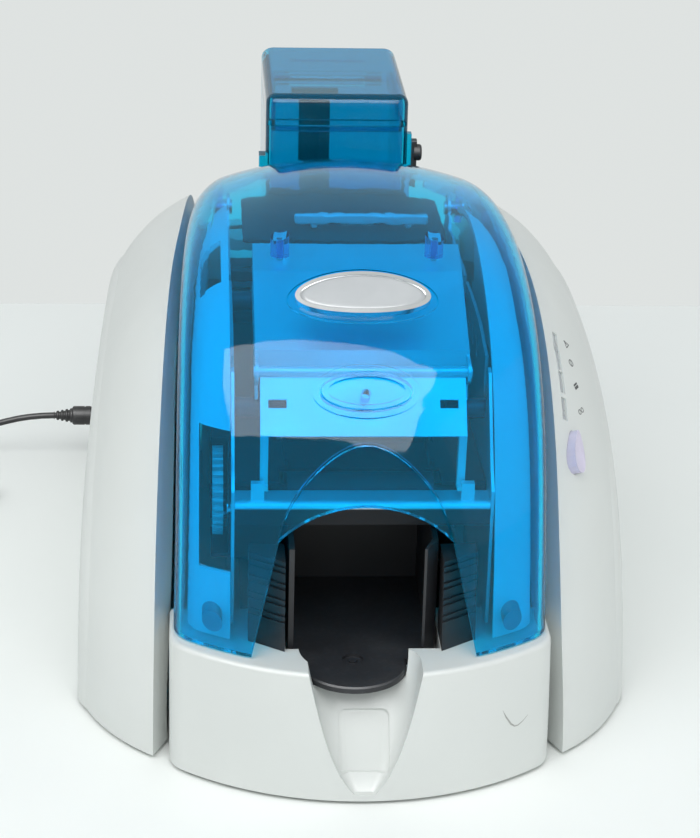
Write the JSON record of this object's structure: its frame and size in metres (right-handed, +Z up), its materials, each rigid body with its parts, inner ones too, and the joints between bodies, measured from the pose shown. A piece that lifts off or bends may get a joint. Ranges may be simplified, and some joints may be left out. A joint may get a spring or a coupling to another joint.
{
  "type": "id card printer",
  "caption": "desktop plastic card printer with a clear arched cover hinged at the rear, a clear card feeder, white side panels and an open card tray in front",
  "frame": {"origin": "middle of the printer's footprint, on the table under its feet", "axes": "X to the right seen from the front, Y from the front to the rear, Z up"},
  "size_m": [0.3872, 0.3623, 0.2],
  "materials": {
    "white_shell": "fine texture",
    "clear_blue": "transparent tint",
    "black_plastic": "fine texture",
    "sheet_steel": "zinc plated",
    "steel": "ground",
    "roller_rubber": "ground",
    "soft_rubber": "matte",
    "gear_plastic": "moulded",
    "circuit_green": "solder mask",
    "aluminium": "extruded",
    "lamp_clear": "frosted",
    "lilac_clear": "translucent",
    "ribbon_film": "wound film",
    "badge_metal": "satin",
    "cord_black": "satin"
  },
  "bodies": {
    "printer": {"front_housing": "white_shell", "left_side_panel": "white_shell", "right_side_panel": "white_shell", "rear_cover": "white_shell", "base_tray": "white_shell", "rubber_feet": "soft_rubber", "left_chassis_plate": "sheet_steel", "right_chassis_plate": "sheet_steel", "front_cross_bar": "sheet_steel", "rear_tie_bar": "sheet_steel", "card_track": "black_plastic", "shaft_bushes": "black_plastic", "chassis_screws": "steel", "left_inner_shroud": "white_shell", "right_inner_shroud": "white_shell", "bumper_pads": "soft_rubber", "gear_cage": "black_plastic", "transport_motor": "black_plastic", "ribbon_motor": "black_plastic", "transport_belt": "soft_rubber", "ribbon_sensor_bar": "sheet_steel", "output_hopper": "black_plastic", "hopper_grips": "black_plastic", "feeder_box": "clear_blue", "feeder_guide_column": "black_plastic", "control_board": "circuit_green", "lamp_windows": "lamp_clear", "main_board": "circuit_green", "power_socket": "black_plastic", "usb_socket": "steel", "rocker_frame": "black_plastic", "dc_plug": "cord_black", "plug_strain_relief": "cord_black", "lead_run": "cord_black", "lead_coil": "cord_black", "coil_tie": "cord_black", "lead_end_connector": "cord_black"},
    "cover": {"cover_shell": "clear_blue", "badge": "badge_metal", "print_head_frame": "sheet_steel", "print_head": "aluminium", "plate_screws": "steel", "hinge_pins": "steel"},
    "button": {"release_button": "clear_blue"},
    "latch": {"cover_latch": "sheet_steel"},
    "lid": {"feeder_lid": "clear_blue", "feeder_lid_pin": "steel"},
    "weight": {"card_weight": "black_plastic"},
    "lever": {"thickness_lever": "black_plastic"},
    "control": {"control_button": "lilac_clear"},
    "rocker": {"power_rocker": "black_plastic"},
    "exit": {"exit_roller": "roller_rubber", "large_gear": "gear_plastic"},
    "platen": {"platen_roller": "roller_rubber"},
    "transport": {"transport_roller": "roller_rubber"},
    "pick": {"pick_roller": "roller_rubber"},
    "cleaning": {"cleaning_roller": "roller_rubber"},
    "pinion": {"motor_pinion": "steel"},
    "supply": {"ribbon_supply_spool": "ribbon_film"},
    "takeup": {"ribbon_takeup_spool": "ribbon_film"}
  },
  "joints": [
    {"name": "cover_hinge", "type": "hinge", "parent": "printer", "child": "cover", "pos_m": [0, 0.065, 0.156], "axis": [-1, 0, 0], "range_deg": [0, 60]},
    {"name": "release_press", "type": "slide", "parent": "cover", "child": "button", "axis": [0, 0.7944, -0.6074], "range_m": [0, 0.0014], "stiffness_N_per_m": 900, "springref_m": -0.0006},
    {"name": "latch_swing", "type": "hinge", "parent": "cover", "child": "latch", "pos_m": [0, -0.11091, 0.14625], "axis": [1, 0, 0], "range_deg": [0, 6.22]},
    {"name": "lid_hinge", "type": "hinge", "parent": "printer", "child": "lid", "pos_m": [0, 0.1772, 0.1825], "axis": [-1, 0, 0], "range_deg": [0, 95]},
    {"name": "weight_slide", "type": "slide", "parent": "printer", "child": "weight", "axis": [0, 0, 1], "range_m": [0, 0.05]},
    {"name": "lever_slide", "type": "slide", "parent": "printer", "child": "lever", "axis": [0, 0, 1], "range_m": [-0.006, 0]},
    {"name": "control_press", "type": "slide", "parent": "printer", "child": "control", "axis": [-0.7728, 0.5105, -0.3771], "range_m": [0, 0.0012], "stiffness_N_per_m": 600, "springref_m": -0.0006},
    {"name": "rocker_tilt", "type": "hinge", "parent": "printer", "child": "rocker", "pos_m": [-0.026, 0.1696, 0.0355], "axis": [-1, 0, 0], "range_deg": [0, 16]},
    {"name": "exit_spin", "type": "hinge", "parent": "printer", "child": "exit", "pos_m": [0, -0.1115, 0.098], "axis": [1, 0, 0], "continuous": true},
    {"name": "platen_spin", "type": "hinge", "parent": "printer", "child": "platen", "pos_m": [0, -0.069, 0.098], "axis": [1, 0, 0], "continuous": true},
    {"name": "transport_spin", "type": "hinge", "parent": "printer", "child": "transport", "pos_m": [0, 0.019, 0.098], "axis": [1, 0, 0], "continuous": true},
    {"name": "pick_spin", "type": "hinge", "parent": "printer", "child": "pick", "pos_m": [0, 0.119, 0.098], "axis": [1, 0, 0], "continuous": true},
    {"name": "cleaning_spin", "type": "hinge", "parent": "printer", "child": "cleaning", "pos_m": [0, 0.045, 0.1112], "axis": [1, 0, 0], "continuous": true},
    {"name": "pinion_spin", "type": "hinge", "parent": "printer", "child": "pinion", "pos_m": [0, -0.09784, 0.08172], "axis": [1, 0, 0], "continuous": true},
    {"name": "supply_spin", "type": "hinge", "parent": "printer", "child": "supply", "pos_m": [0, -0.015, 0.14], "axis": [1, 0, 0], "continuous": true},
    {"name": "takeup_spin", "type": "hinge", "parent": "printer", "child": "takeup", "pos_m": [0, -0.097, 0.126], "axis": [1, 0, 0], "continuous": true}
  ],
  "couplings": [
    {"joint": "latch_swing", "follows": "release_press", "rad_per_m": 77.525},
    {"joint": "pinion_spin", "follows": "exit_spin", "ratio": -3.2},
    {"joint": "platen_spin", "follows": "exit_spin", "ratio": 1},
    {"joint": "transport_spin", "follows": "exit_spin", "ratio": 1},
    {"joint": "pick_spin", "follows": "exit_spin", "ratio": 1}
  ]
}
